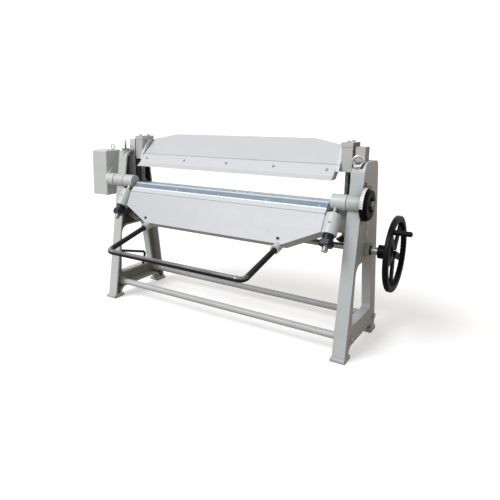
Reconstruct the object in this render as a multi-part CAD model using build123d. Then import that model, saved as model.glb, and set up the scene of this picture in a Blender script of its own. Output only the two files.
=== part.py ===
from build123d import *
import math
import os

# Hand operated sheet folder: two cast side frames, a fixed table, a clamping beam that
# two lead screws raise and lower, and a folding beam that swings about the bending line.
# Millimetres. X runs along the bending line, -Y is the operator's side, Z = 0 is the floor.

# bending line and overall layout
bend_length = 1320.0
bend_line_y = -141.0
bend_line_z = 803.0
edge_gap = 2.5

# side frames, cast as an outer plate with flanges that point inwards
frame_centre_x = 793.0
frame_depth_x = 67.0
frame_web = 12.0
frame_flange = 12.0
frame_top_rise = 204.0
frame_front_foot_y = -270.2
frame_front_top_y = -123.2
frame_rear_foot_y = 263.4
frame_rear_top_y = 98.3
frame_front_corner_r = 60.0
frame_rear_corner_r = 45.0
arch_base_z = 165.0
arch_top_z = 487.0
arch_front_low_y = -183.0
arch_front_top_y = -170.0
arch_rear_low_y = 143.0
arch_rear_top_y = 80.0
arch_front_r = 60.0
arch_rear_r = 60.0
arch_low_r = 22.0
arch_flange_depth = 47.0
foot_gap_z = 62.0
foot_gap_front_y = -210.0
foot_gap_rear_y = 200.0
foot_gap_r = 46.0
pad_width_x = 76.0
pad_depth_y = 92.0
pad_front_y = -284.0
pad_rear_y = 272.0
pad_height = 22.0
pad_round = 6.0
floor_bolt_x = 787.0
floor_bolt_y = 233.0
floor_bolt_r = 7.0

# pivots of the folding beam
pivot_r = 20.0
pivot_boss_r = 42.0
pivot_boss_inner_x = 757.0
pivot_boss_proud = 3.0
left_boss_outer_x = 843.0
hub_inner_x = 676.0
hub_side_gap = 3.0
running_gap = 0.05

# tie rods near the floor
tie_rod_r = 20.0
tie_rod_z = 102.0
tie_rod_front_y = -186.0
tie_rod_rear_y = 198.0
tie_bolt_r = 9.0
tie_bolt_across = 30.0
tie_bolt_head = 12.0
tie_washer_r = 19.0
tie_washer = 4.0

# fixed table and the bed under it
table_depth_y = 60.5
table_thickness = 25.0
bed_plate = 12.0
bed_front_y = -92.0
bed_rear_y = 42.0
bed_bottom_z = 632.0
bed_lip_y = -125.0
bed_lip_half_x = 655.0
bed_hole_gap = 5.0

# lead screws, nuts and their drive
screw_x = 708.5
screw_y = -22.0
screw_r = 15.0
screw_top_gap = 1.0
bearing_r = 36.0
bearing_height = 20.0
bearing_collar_r = 21.0
bearing_collar = 10.0
drive_z = 545.0
drive_r = 17.0
drive_boss_r = 37.0
drive_boss_inner_x = 772.0
drive_boss_outer_x = 850.0
drive_left_end_x = 800.0
gear_pitch_r = 40.0
gear_teeth = 20
gear_face = 14.0
gear_hub_r = 25.0
gear_hub = 14.0
gear_backlash = 0.8
tooth_rise = 3.6
tooth_depth = 4.6
tooth_angle = 20.0
shaft_shoulder_r = 20.0
shaft_collar_r = 24.0
shaft_collar_width = 8.0

# vertical guide bars
guide_inner_x = 750.0
guide_outer_x = 799.0
guide_front_y = -51.0
guide_depth_y = 70.0
guide_top_proud = 3.0
slide_gap = 0.3

# clamping beam, drawn raised
clamp_opening = 105.0
nose_setback = 5.0
nose_foot_y = 66.0
nose_rise = 42.0
nose_back_y = -24.0
nose_front_y = -107.0
nose_front_rise = 21.0
clamp_bend_y = -63.0
clamp_bend_rise = 77.0
clamp_top_y = 78.0
clamp_top_rise = 205.0
clamp_side_y = 34.0
clamp_side_rise = 173.0
clamp_top_half_x = 479.0
clamp_side_half_x = 645.0
clamp_plate = 8.0
jaw_thickness = 25.0
clamp_end_plate = 20.0
clamp_end_foot_y = -85.0
clamp_end_knee_y = -75.0
clamp_end_knee_rise = 67.0
clamp_end_top_y = -13.0
clamp_bottom_lift = 2.0
block_inner_x = 680.0
block_outer_x = 737.0
block_front_y = -57.0
block_rear_y = 55.0
block_rise = 40.0
block_height = 128.0
block_bore_r = 20.0
shoe_inset = 8.0
nut_length = 30.0
cap_thickness = 24.0
cap_overhang = 5.0

# folding beam, drawn hanging; u runs along the working face, v is the depth behind it
hang_angle = 44.0
strip_width = 47.0
strip_thickness = 12.0
band_end_u = 83.0
bar_depth = 43.0
apron_end_u = 265.0
apron_end_v = 60.0
apron_side_u = 174.0
apron_side_v = 30.0
apron_bottom_half_x = 470.0
apron_depth = 78.0
apron_wall = 6.0
rib_spacing = 330.0
rib_thickness = 8.0
seam_width = 2.5
seam_depth = 4.0

# adjusters: a stud from each hub, turned back from the working face, and the beam's sleeve on it
adjuster_x = 703.0
adjuster_tilt = 11.0
adjuster_r = 15.0
adjuster_reach = 278.0
sleeve_r = 39.0
sleeve_start = 75.0
sleeve_length = 112.0
sleeve_lug_v = 34.0
sleeve_lug_inset = 5.0
round_nut_r = 29.0
round_nut = 32.0
lock_nut_across = 68.0
lock_nut = 28.0

# handle
handle_half_x = 446.0
handle_root_y = -273.0
handle_root_z = 561.0
handle_front_y = -643.0
handle_front_z = 471.0
handle_r = 15.0
handle_wall = 2.5
handle_bend_r = 34.0
handle_bury = 24.0
socket_r = 24.0
socket_length = 52.0

# counterweight
weight_inner_x = 915.0
weight_outer_x = 1050.0
weight_front_y = -165.0
weight_rear_y = -20.0
weight_bottom_z = 690.0
weight_top_z = 1000.0
weight_round = 12.0
arm_thickness = 15.0
gusset_front = 33.0
gusset_rise = 26.0
gusset_inset = 8.0
weight_eye_x = 960.0
weight_eye_y = -52.0
weight_eye_ring_r = 16.0
weight_eye_wire_r = 3.8
weight_eye_collar_r = 9.0

# angle disc on the right pivot
disc_inner_x = 835.0
disc_outer_x = 870.0
disc_r = 84.0
disc_scale_width = 18.0
disc_face_r = 73.0
disc_recess_r = 40.0
disc_recess = 9.0
pivot_nut_r = 24.0
pivot_nut = 12.0

# handwheel
wheel_x = 972.0
wheel_r = 197.0
wheel_rim_width = 34.0
wheel_rim_thick = 26.0
wheel_rim_round = 7.0
wheel_scallops = 48
wheel_scallop_r = 8.0
wheel_scallop_depth = 4.0
wheel_hub_start_x = 892.0
wheel_hub_end_x = 960.0
wheel_hub_r = 36.0
wheel_hub_lip = 6.0
wheel_spokes = 5
wheel_spoke_start = 52.0
wheel_spoke_width = 30.0
wheel_spoke_thick = 13.0
grip_radius = 170.0
grip_angle = 128.0
grip_r = 13.0
grip_length = 74.0
grip_pin_r = 5.0
grip_collar_r = 9.0
grip_boss_r = 14.0
grip_head = 4.0
grip_stand_off = 4.0

# lifting eyes on the frame tops
frame_eye_ring_r = 25.0
frame_eye_wire_r = 6.5
frame_eye_collar_r = 24.0
frame_eye_collar = 12.0
left_eye_x = -793.0
left_eye_y = -100.0
left_eye_seat_drop = 3.0
left_eye_turn = -47.0
right_eye_x = 782.0
right_eye_y = -105.0
right_eye_seat_drop = 32.0
right_eye_turn = 8.0
eye_seat_r = 28.0
eye_clear_r = 34.0
eye_seat_depth = 35.0

# bent rod inside the left frame
rest_bar_x = -784.0
rest_bar_r = 9.0
rest_bar_bend_r = 24.0
rest_bar_foot_y = 45.0
rest_bar_corner_y = 74.0
rest_bar_corner_z = 250.0
rest_bar_front_z = 316.0

# pointer over the angle disc
pointer_width = 12.0
pointer_thickness = 4.0
pointer_gap = 5.0
pointer_screw_r = 3.0
pointer_screw_height = 16.0

frame_inner_x = frame_centre_x - frame_depth_x / 2
frame_outer_x = frame_centre_x + frame_depth_x / 2
frame_web_x = frame_outer_x - frame_web
frame_height = bend_line_z + frame_top_rise
bed_top_z = bend_line_z - table_thickness
guide_rear_y = guide_front_y + guide_depth_y
sleeve_end = sleeve_start + sleeve_length
nose_z = bend_line_z + clamp_opening
clamp_end_knee_z = nose_z + clamp_end_knee_rise
block_bottom_z = nose_z + block_rise
block_top_z = block_bottom_z + block_height
screw_top_z = block_top_z - clamp_opening - screw_top_gap
guide_top_z = block_top_z + guide_top_proud
half_length = bend_length / 2
hub_outer_x = pivot_boss_inner_x - hub_side_gap
hang = math.radians(hang_angle)


def side_plane(x):
    """Plane across the machine: local x is +Y, local y is +Z and the normal is +X."""
    return Plane(origin=(x, 0, 0), x_dir=(0, 1, 0), z_dir=(1, 0, 0))


def beam_plane(x):
    """Plane across the folding beam: local x is u, local y is v and the normal is +X."""
    along = (0, -math.cos(hang), -math.sin(hang))
    return Plane(origin=(x, bend_line_y, bend_line_z), x_dir=along, z_dir=(1, 0, 0))


def beam_point(u, v):
    """Y and Z of a point of the folding beam's section."""
    y = bend_line_y - u * math.cos(hang) + v * math.sin(hang)
    z = bend_line_z - u * math.sin(hang) - v * math.cos(hang)
    return y, z


def outline(points):
    """Flat face inside a closed run of points."""
    return make_face(Polyline(*points, close=True))


def prism(points, x_low, x_high, plane=side_plane):
    """Solid between two values of X whose section is a closed run of points."""
    return extrude(plane(x_low) * outline(points), amount=x_high - x_low)


def bar_x(radius, x_low, x_high, y, z):
    """Round bar along X."""
    disc = side_plane(x_low) * (Pos(y, z) * Circle(radius))
    return extrude(disc, amount=x_high - x_low)


def bar_z(radius, x, y, z_low, z_high):
    """Round bar along Z."""
    return Pos(x, y, z_low) * Cylinder(radius, z_high - z_low, align=(Align.CENTER, Align.CENTER, Align.MIN))


def box(x_low, x_high, y_low, y_high, z_low, z_high):
    """Rectangular block between three pairs of faces."""
    size = (x_high - x_low, y_high - y_low, z_high - z_low)
    return Pos(x_low, y_low, z_low) * Box(*size, align=(Align.MIN, Align.MIN, Align.MIN))


def mirrored(shape):
    """The same piece on the other side of the machine."""
    return mirror(shape, about=Plane.YZ)


def both_sides(shape):
    """A piece and its mirror image, as separate solids of one node."""
    return Compound(children=[*shape.solids(), *mirrored(shape).solids()])


def frame_face():
    """Outer outline of a side frame with its two rounded top corners."""
    sketch = outline([
        (frame_front_foot_y, 0),
        (frame_rear_foot_y, 0),
        (frame_rear_top_y, frame_height),
        (frame_front_top_y, frame_height),
    ])
    top = sketch.vertices().filter_by(lambda v: v.Y > frame_height - 1).sort_by(Axis.X)
    sketch = fillet(top[0], frame_front_corner_r)
    top = sketch.vertices().filter_by(lambda v: v.Y > frame_height - 1).sort_by(Axis.X)
    return fillet(top[-1], frame_rear_corner_r)


def arch_face():
    """Opening between the legs of a side frame."""
    sketch = outline([
        (arch_front_low_y, arch_base_z),
        (arch_rear_low_y, arch_base_z),
        (arch_rear_top_y, arch_top_z),
        (arch_front_top_y, arch_top_z),
    ])
    low = sketch.vertices().filter_by(lambda v: v.Y < arch_base_z + 1)
    sketch = fillet(low, arch_low_r)
    rear = sketch.vertices().filter_by(lambda v: v.Y > arch_top_z - 1).sort_by(Axis.X)
    sketch = fillet(rear[-1], arch_rear_r)
    front = sketch.vertices().filter_by(lambda v: v.Y > arch_top_z - 1).sort_by(Axis.X)
    return fillet(front[0], arch_front_r)


def foot_gap_face():
    """Opening under the lower cross member, between the two feet."""
    below = -20.0
    sketch = outline([
        (foot_gap_front_y, below),
        (foot_gap_rear_y, below),
        (foot_gap_rear_y, foot_gap_z),
        (foot_gap_front_y, foot_gap_z),
    ])
    top = sketch.vertices().filter_by(lambda v: v.Y > foot_gap_z - 1)
    return fillet(top, foot_gap_r)


def frame_shell():
    """Right side frame's plate and flanges, with the recess open to the machine's middle."""
    solid_face = frame_face() - arch_face() - foot_gap_face()
    shell = extrude(side_plane(frame_inner_x) * solid_face, amount=frame_depth_x)
    inside = offset(frame_face(), amount=-frame_flange)
    inside -= offset(arch_face(), amount=frame_flange)
    inside -= offset(foot_gap_face(), amount=frame_flange)
    shell -= extrude(side_plane(frame_inner_x) * inside, amount=frame_depth_x - frame_web)
    arch_land = side_plane(frame_inner_x) * offset(arch_face(), amount=frame_flange + 1)
    return shell - extrude(arch_land, amount=frame_depth_x - arch_flange_depth)


def frame_pads():
    """The two floor pads of the right side frame, with rounded upper edges."""
    low = frame_centre_x - pad_width_x / 2
    high = frame_centre_x + pad_width_x / 2
    pads = [
        box(low, high, pad_front_y, pad_front_y + pad_depth_y, 0, pad_height),
        box(low, high, pad_rear_y - pad_depth_y, pad_rear_y, 0, pad_height),
    ]
    rounded = [fillet(pad.faces().sort_by(Axis.Z)[-1].edges(), pad_round) for pad in pads]
    return rounded[0] + rounded[1]


def frame_bosses(right):
    """Round bosses of a side frame: pivot, drive shaft and tie rods."""
    pivot_end = frame_outer_x + pivot_boss_proud if right else left_boss_outer_x
    bosses = bar_x(pivot_boss_r, pivot_boss_inner_x, pivot_end, bend_line_y, bend_line_z)
    drive_end = drive_boss_outer_x if right else frame_outer_x - 1
    bosses += bar_x(drive_boss_r, drive_boss_inner_x, drive_end, screw_y, drive_z)
    for y in (tie_rod_front_y, tie_rod_rear_y):
        bosses += bar_x(tie_rod_r + 6, frame_inner_x, frame_web_x + 1, y, tie_rod_z)
    return bosses


def frame_bores(right):
    """Everything that is drilled through a side frame and its pads."""
    pivot_end = frame_outer_x + pivot_boss_proud if right else left_boss_outer_x
    bores = bar_x(pivot_r + running_gap, pivot_boss_inner_x - 1, pivot_end + 1, bend_line_y, bend_line_z)
    drive_end = drive_boss_outer_x + 1 if right else drive_left_end_x + 1
    bores += bar_x(drive_r + running_gap, frame_inner_x - 1, drive_end, screw_y, drive_z)
    for y in (tie_rod_front_y, tie_rod_rear_y):
        bores += bar_x(tie_bolt_r + running_gap, frame_inner_x - 1, frame_outer_x + 1, y, tie_rod_z)
    for y in (-floor_bolt_y, floor_bolt_y):
        bores += bar_z(floor_bolt_r, floor_bolt_x, y, -1, pad_height + 1)
    return bores


def eye_seat(right):
    """Boss under a lifting eye on the frame's rounded front corner, and the space cleared above it."""
    x = right_eye_x if right else -left_eye_x
    y = right_eye_y if right else left_eye_y
    seat_z = frame_height - (right_eye_seat_drop if right else left_eye_seat_drop)
    column = bar_z(eye_seat_r, x, y, seat_z - eye_seat_depth, seat_z)
    if right:
        column &= extrude(side_plane(frame_inner_x) * frame_face(), amount=frame_depth_x)
    else:
        column &= box(frame_inner_x, frame_outer_x, y - eye_seat_r, y + eye_seat_r, 0, seat_z)
    return column, bar_z(eye_clear_r, x, y, seat_z, frame_height + 1)


def side_frame(right):
    """One casting: shell, floor pads, bosses, bed pad, guide rib and the seat of a lifting eye."""
    casting = frame_shell() + frame_pads() + frame_bosses(right)
    casting += box(frame_inner_x, frame_web_x + 1, bed_front_y, bed_rear_y, bed_bottom_z, bed_top_z)
    rib_top = frame_height - frame_flange + 1
    casting += box(guide_outer_x, frame_web_x + 1, guide_front_y, guide_rear_y, bed_top_z, rib_top)
    casting -= box(guide_inner_x, guide_outer_x, guide_front_y, guide_rear_y, bed_top_z, frame_height + 1)
    column, cleared = eye_seat(right)
    casting += column
    casting -= cleared
    casting -= frame_bores(right)
    return casting if right else mirrored(casting)


def tie_rods():
    """Round rods between the two side frames, front and rear."""
    spots = (tie_rod_front_y, tie_rod_rear_y)
    rods = [bar_x(tie_rod_r, -frame_inner_x, frame_inner_x, y, tie_rod_z) for y in spots]
    return Compound(children=rods)


def tie_bolts():
    """Bolts through the side frames into the ends of the tie rods."""
    solids = []
    for y in (tie_rod_front_y, tie_rod_rear_y):
        bolt = bar_x(tie_bolt_r, frame_inner_x, frame_outer_x, y, tie_rod_z)
        bolt += bar_x(tie_washer_r, frame_outer_x, frame_outer_x + tie_washer, y, tie_rod_z)
        head = RegularPolygon(tie_bolt_across / 2, 6, major_radius=False)
        head_x = frame_outer_x + tie_washer
        bolt += extrude(side_plane(head_x) * (Pos(y, tie_rod_z) * head), amount=tie_bolt_head)
        solids.append(bolt)
    return both_sides(Compound(children=solids))


def table_blade():
    """Steel bar whose front edge is the bending line of the fixed table."""
    front = bend_line_y + edge_gap
    return box(-half_length, half_length, front, front + table_depth_y, bed_top_z, bend_line_z)


def bed_top_plate():
    """Top plate of the bed, with the lip under the table and the holes for the lead screws."""
    low = bed_top_z - bed_plate
    plate = box(-frame_inner_x, frame_inner_x, bed_front_y, bed_rear_y, low, bed_top_z)
    plate += box(-bed_lip_half_x, bed_lip_half_x, bed_lip_y, bed_front_y, low, bed_top_z)
    for x in (-screw_x, screw_x):
        plate -= bar_z(screw_r + bed_hole_gap, x, screw_y, low - 1, bed_top_z + 1)
    return plate


def bed_front_plate():
    """Deep front plate of the bed between the two side frames."""
    top = bed_top_z - bed_plate
    return box(-frame_inner_x, frame_inner_x, bed_front_y, bed_front_y + bed_plate, bed_bottom_z, top)


def bed_rear_plate():
    """Deep rear plate of the bed between the two side frames."""
    top = bed_top_z - bed_plate
    return box(-frame_inner_x, frame_inner_x, bed_rear_y - bed_plate, bed_rear_y, bed_bottom_z, top)


def bed_end_plate():
    """Right end plate that fastens the bed to its side frame."""
    top = bed_top_z - bed_plate
    low = frame_inner_x - bed_plate
    return box(low, frame_inner_x, bed_front_y + bed_plate, bed_rear_y - bed_plate, bed_bottom_z, top)


def screw_bearing():
    """Flanged bearing housing of the right lead screw on the bed's top plate."""
    top = bed_top_z + bearing_height
    housing = bar_z(bearing_r, screw_x, screw_y, bed_top_z, bed_top_z + bearing_height / 2)
    housing += bar_z(bearing_r - 10, screw_x, screw_y, bed_top_z, top)
    return housing - bar_z(screw_r + running_gap, screw_x, screw_y, bed_top_z - 1, top + 1)


def lead_screw():
    """Right lead screw with its thrust collar."""
    foot_z = drive_z + gear_pitch_r - gear_face
    screw = bar_z(screw_r, screw_x, screw_y, foot_z, screw_top_z)
    collar_z = bed_top_z + bearing_height + slide_gap
    screw += bar_z(bearing_collar_r, screw_x, screw_y, collar_z, collar_z + bearing_collar)
    return chamfer(screw.edges().group_by(Axis.Z)[-1], 2)


def bevel_blank():
    """Bevel gear blank about +Z, with the tip of its pitch cone at the origin."""
    reach = 1 - gear_face / gear_pitch_r
    tip = tooth_rise / math.sqrt(2)
    root = tooth_depth / math.sqrt(2)
    profile = Polyline(
        (0, (gear_pitch_r - tip) * reach),
        ((gear_pitch_r + tip) * reach, (gear_pitch_r - tip) * reach),
        (gear_pitch_r + tip, gear_pitch_r - tip),
        (gear_pitch_r - root - 2, gear_pitch_r + root + 2),
        (gear_hub_r, gear_pitch_r + root + 2),
        (gear_hub_r, gear_pitch_r + gear_hub),
        (0, gear_pitch_r + gear_hub),
        close=True,
    )
    return revolve(Plane.XZ * make_face(profile), axis=Axis.Z)


def tooth_space():
    """Space between two teeth, which narrows towards the tip of the pitch cone."""
    half = math.pi * gear_pitch_r / gear_teeth / 2 + gear_backlash / 2
    slope = math.tan(math.radians(tooth_angle))
    above = tooth_rise + 2
    section = [
        (-half - above * slope, -above),
        (half + above * slope, -above),
        (half - tooth_depth * slope, tooth_depth),
        (-half + tooth_depth * slope, tooth_depth),
    ]
    ends = []
    for scale in (1.3, 0.5):
        centre = gear_pitch_r * scale
        plane = Plane(origin=(centre, 0, centre), x_dir=(0, 1, 0), z_dir=(1, 0, 1))
        ends.append(plane * outline([(x * scale, y * scale) for x, y in section]))
    return loft(ends, ruled=True)


def bevel_gear():
    """Straight bevel gear about +Z with a tooth space over +X."""
    space = tooth_space()
    step = 360 / gear_teeth
    spaces = [Rot(0, 0, number * step) * space for number in range(gear_teeth)]
    return bevel_blank() - spaces


def screw_gear(x):
    """Bevel gear on the foot of a lead screw, half a tooth out of step with the shaft's gear."""
    gear = Pos(x, screw_y, drive_z) * Rot(0, 0, 180 / gear_teeth) * bevel_gear()
    return gear - bar_z(screw_r, x, screw_y, drive_z, drive_z + gear_pitch_r + gear_hub + 1)


def shaft_gears():
    """Bevel gears on the drive shaft, each on the +X side of its lead screw."""
    gears = []
    for x in (-screw_x, screw_x):
        gear = Location((x, screw_y, drive_z), (0, 90, 0)) * bevel_gear()
        gears.append(gear - bar_x(drive_r, x, x + gear_pitch_r + gear_hub + 1, screw_y, drive_z))
    return Compound(children=[solid for gear in gears for solid in gear.solids()])


def guide_bar():
    """Right vertical guide bar, let into the frame's top flange."""
    return box(guide_inner_x, guide_outer_x, guide_front_y, guide_rear_y, bed_top_z, guide_top_z)


def clamp_points():
    """Key points of the clamping beam's section, from the nose upwards."""
    nose_y = bend_line_y + nose_setback
    return {
        "nose": (nose_y, nose_z),
        "heel": (nose_y + nose_foot_y, nose_z),
        "back": (nose_back_y, nose_z + nose_rise),
        "front": (nose_front_y, nose_z + nose_front_rise),
        "bend": (clamp_bend_y, nose_z + clamp_bend_rise),
        "side": (clamp_side_y, nose_z + clamp_side_rise),
        "top": (clamp_top_y, nose_z + clamp_top_rise),
    }


def strip_slope():
    """Slope of the clamping beam's steep lower strip."""
    p = clamp_points()
    return math.atan2(p["bend"][1] - p["front"][1], p["bend"][0] - p["front"][0])


def clamp_nose():
    """Hardened jaw: its sharp lower edge presses the sheet, its front is the beam's steep strip."""
    p = clamp_points()
    slope = strip_slope()
    bend = p["bend"]
    inner = (bend[0] + jaw_thickness * math.sin(slope), bend[1] - jaw_thickness * math.cos(slope))
    section = [p["nose"], p["heel"], p["back"], inner, bend, p["front"]]
    return prism(section, -half_length, half_length)


def clamp_front_block():
    """Space inside the clamping beam's outline, seen from the front."""
    p = clamp_points()
    half = [
        (half_length, nose_z),
        (half_length, p["bend"][1]),
        (clamp_side_half_x, p["side"][1]),
        (clamp_top_half_x, p["top"][1]),
    ]
    other_half = [(-x, z) for x, z in reversed(half)]
    return extrude(Plane.XZ * outline(half + other_half), amount=bend_length, both=True)


def panel_rise():
    """Slope of the clamping beam's wide upper panel."""
    p = clamp_points()
    return math.atan2(p["top"][1] - p["bend"][1], p["top"][0] - p["bend"][0])


def clamp_front_plate():
    """Wide upper panel with cut corners, from the jaw's upper edge to the beam's top."""
    p = clamp_points()
    rise = panel_rise()
    back = (math.sin(rise) * clamp_plate, -math.cos(rise) * clamp_plate)
    section = [
        p["bend"],
        p["top"],
        (p["top"][0] + back[0], p["top"][1] + back[1]),
        (p["bend"][0] + back[0], p["bend"][1] + back[1]),
    ]
    return (prism(section, -half_length, half_length) & clamp_front_block()) - clamp_nose()


def clamp_bottom_plate():
    """Floor of the clamping beam behind its jaw."""
    low = block_bottom_z + clamp_bottom_lift
    plate = box(-half_length, half_length, nose_back_y - jaw_thickness, block_rear_y, low, low + clamp_plate)
    return plate - clamp_nose()


def clamp_rear_plate():
    """Rear wall of the clamping beam, up to the underside of its panel."""
    low = block_bottom_z + clamp_bottom_lift + clamp_plate
    bend = clamp_points()["bend"]
    rise = panel_rise()
    under = clamp_plate / math.cos(rise)
    front_y = block_rear_y - clamp_plate
    front_top = bend[1] + (front_y - bend[0]) * math.tan(rise) - under
    rear_top = bend[1] + (block_rear_y - bend[0]) * math.tan(rise) - under
    section = [(front_y, low), (block_rear_y, low), (block_rear_y, rear_top), (front_y, front_top)]
    return prism(section, -half_length, half_length) & clamp_front_block()


def clamp_end():
    """Right end plate between the clamping beam and its lifting block."""
    low = block_bottom_z + clamp_bottom_lift
    points = [
        (clamp_end_foot_y, low),
        (block_rear_y, low),
        (block_rear_y, block_top_z),
        (clamp_end_top_y, block_top_z),
        (clamp_end_knee_y, clamp_end_knee_z),
    ]
    return prism(points, half_length, half_length + clamp_end_plate)


def lifting_block():
    """Right lifting block, bored for the lead screw, with its slide face on the guide bar."""
    block = box(block_inner_x, block_outer_x, block_front_y, block_rear_y, block_bottom_z, block_top_z)
    low = block_bottom_z + shoe_inset
    high = block_top_z - shoe_inset
    shoe_x = guide_inner_x - slide_gap
    block += box(block_outer_x, shoe_x, guide_front_y + 2, guide_rear_y - 2, low, high)
    return block - bar_z(block_bore_r, screw_x, screw_y, block_bottom_z - 1, block_top_z + 1)


def lifting_nut():
    """Bronze nut pressed into the foot of the right lifting block."""
    top = block_bottom_z + nut_length
    nut = bar_z(block_bore_r, screw_x, screw_y, block_bottom_z, top)
    return nut - bar_z(screw_r + running_gap, screw_x, screw_y, block_bottom_z - 1, top + 1)


def block_cap():
    """Right top plate over the lifting block."""
    return box(
        block_inner_x - cap_overhang,
        block_outer_x + 2,
        block_front_y - 2,
        block_rear_y + 2,
        block_top_z,
        block_top_z + cap_thickness,
    )


def folding_strip():
    """Steel working strip of the folding beam, bevelled behind its edge."""
    end_u = edge_gap + strip_width
    bevel = strip_thickness
    points = [(edge_gap, 0), (end_u, 0), (end_u, strip_thickness), (edge_gap + bevel, strip_thickness)]
    return prism(points, -half_length, half_length, beam_plane)


def apron_normal():
    """Unit vector, in u and v, that points from the apron into the folding beam."""
    run_u = apron_end_u - band_end_u
    length = math.hypot(run_u, apron_end_v)
    return -apron_end_v / length, run_u / length


def folding_bar():
    """Bar that carries the working strip and closes the folding beam's upper edge."""
    n_u, n_v = apron_normal()
    strip_end = edge_gap + strip_width
    points = [
        (edge_gap + strip_thickness + 3, strip_thickness),
        (strip_end, strip_thickness),
        (strip_end, 0),
        (band_end_u - seam_width, 0),
        (band_end_u - seam_width + seam_depth * n_u, seam_depth * n_v),
        (band_end_u + seam_depth * n_u, seam_depth * n_v),
        (band_end_u + bar_depth * n_u, bar_depth * n_v),
        (edge_gap + strip_thickness + 20, bar_depth),
        (edge_gap + strip_thickness + 3, strip_thickness + 14),
    ]
    return prism(points, -half_length, half_length, beam_plane)


def apron_plane():
    """Plane on the apron's outer face: local x along X, local y down the apron."""
    y, z = beam_point(band_end_u, 0)
    end_y, end_z = beam_point(apron_end_u, apron_end_v)
    down = Vector(0, end_y - y, end_z - z).normalized()
    into = Vector(1, 0, 0).cross(down)
    return Plane(origin=(0, y, z), x_dir=(1, 0, 0), z_dir=into)


def apron_face(inset):
    """Outline of the apron, set in by a wall thickness."""
    length = math.hypot(apron_end_u - band_end_u, apron_end_v)
    side = length * (apron_side_u - band_end_u) / (apron_end_u - band_end_u)
    face = outline([
        (-half_length, 0),
        (half_length, 0),
        (half_length, side),
        (apron_bottom_half_x, length),
        (-apron_bottom_half_x, length),
        (-half_length, side),
    ])
    return offset(face, amount=-inset, kind=Kind.INTERSECTION) if inset else face


def apron_block():
    """Whole space that the apron's panel and returns enclose."""
    return extrude(apron_plane() * apron_face(0), amount=apron_depth)


def apron():
    """Welded sheet apron: a tapered panel with deep returns, open at the back."""
    inner = apron_plane().offset(apron_wall) * apron_face(apron_wall)
    return apron_block() - extrude(inner, amount=apron_depth)


def apron_ribs():
    """Stiffening ribs across the inside of the apron."""
    length = math.hypot(apron_end_u - band_end_u, apron_end_v)
    ribs = []
    for step in (-1, 0, 1):
        x = step * rib_spacing
        face = outline([
            (x - rib_thickness / 2, apron_wall),
            (x + rib_thickness / 2, apron_wall),
            (x + rib_thickness / 2, length - apron_wall),
            (x - rib_thickness / 2, length - apron_wall),
        ])
        start = apron_plane().offset(apron_wall)
        ribs.append(extrude(start * face, amount=apron_depth - apron_wall - 6))
    return Compound(children=ribs)


def adjuster_plane(distance):
    """Plane across the right adjuster's axis, at a distance from the pivot's centre."""
    angle = hang + math.radians(adjuster_tilt)
    along = Vector(0, -math.cos(angle), -math.sin(angle))
    origin = Vector(adjuster_x, bend_line_y, bend_line_z) + along * distance
    return Plane(origin=origin, x_dir=(1, 0, 0), z_dir=along)


def adjuster_bar(radius, low, high):
    """Round bar along the right adjuster's axis, between two distances from the pivot."""
    return extrude(adjuster_plane(low) * Circle(radius), amount=high - low)


def pivot_hub():
    """Right hub of the folding beam with the stud that carries the adjusting sleeve."""
    hub = bar_x(pivot_boss_r, hub_inner_x, hub_outer_x, bend_line_y, bend_line_z)
    return hub + adjuster_bar(adjuster_r, pivot_boss_r * 0.6, adjuster_reach)


def adjusting_sleeve():
    """Right sleeve around the hub's stud, with the lug that is welded to the beam's end."""
    sleeve = adjuster_bar(sleeve_r, sleeve_start, sleeve_end)
    low_u = band_end_u + sleeve_lug_inset
    high_u = apron_side_u - sleeve_lug_inset
    lug = [
        (low_u, sleeve_lug_inset),
        (high_u, apron_side_v + sleeve_lug_inset),
        (high_u, apron_side_v + sleeve_lug_v),
        (low_u, sleeve_lug_v),
    ]
    sleeve += prism(lug, half_length, adjuster_x, beam_plane)
    return sleeve - adjuster_bar(adjuster_r + running_gap, sleeve_start - 1, sleeve_end + 1)


def adjusting_nuts():
    """Right round adjusting nut and the hexagonal lock nut under it."""
    lock_start = sleeve_end + round_nut
    end = lock_start + lock_nut
    hexagon = RegularPolygon(lock_nut_across / 2, 6, major_radius=False)
    nuts = chamfer(adjuster_bar(round_nut_r, sleeve_end, lock_start).edges(), 2)
    nuts += extrude(adjuster_plane(lock_start) * hexagon, amount=lock_nut)
    return nuts - adjuster_bar(adjuster_r + running_gap, sleeve_end - 1, end + 1)


def pivot_pins():
    """Pivot pins from the folding beam's hubs out through the side frames."""
    right = bar_x(pivot_r, hub_outer_x, disc_outer_x, bend_line_y, bend_line_z)
    left = bar_x(pivot_r, -weight_inner_x, -hub_outer_x, bend_line_y, bend_line_z)
    return Compound(children=[left, right])


def angle_disc():
    """Disc on the right pivot pin: a cylindrical scale, a conical rim and a recessed face."""
    profile = Polyline(
        (disc_inner_x, pivot_r),
        (disc_inner_x, disc_r),
        (disc_inner_x + disc_scale_width, disc_r),
        (disc_outer_x, disc_face_r),
        (disc_outer_x, disc_recess_r),
        (disc_outer_x - disc_recess, disc_recess_r),
        (disc_outer_x - disc_recess, pivot_r),
        close=True,
    )
    return Pos(0, bend_line_y, bend_line_z) * revolve(make_face(profile), axis=Axis.X)


def pivot_nut_piece():
    """Nut that holds the angle disc on its pin."""
    nut = side_plane(disc_outer_x) * (Pos(bend_line_y, bend_line_z) * RegularPolygon(pivot_nut_r, 6))
    return extrude(nut, amount=pivot_nut)


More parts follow.
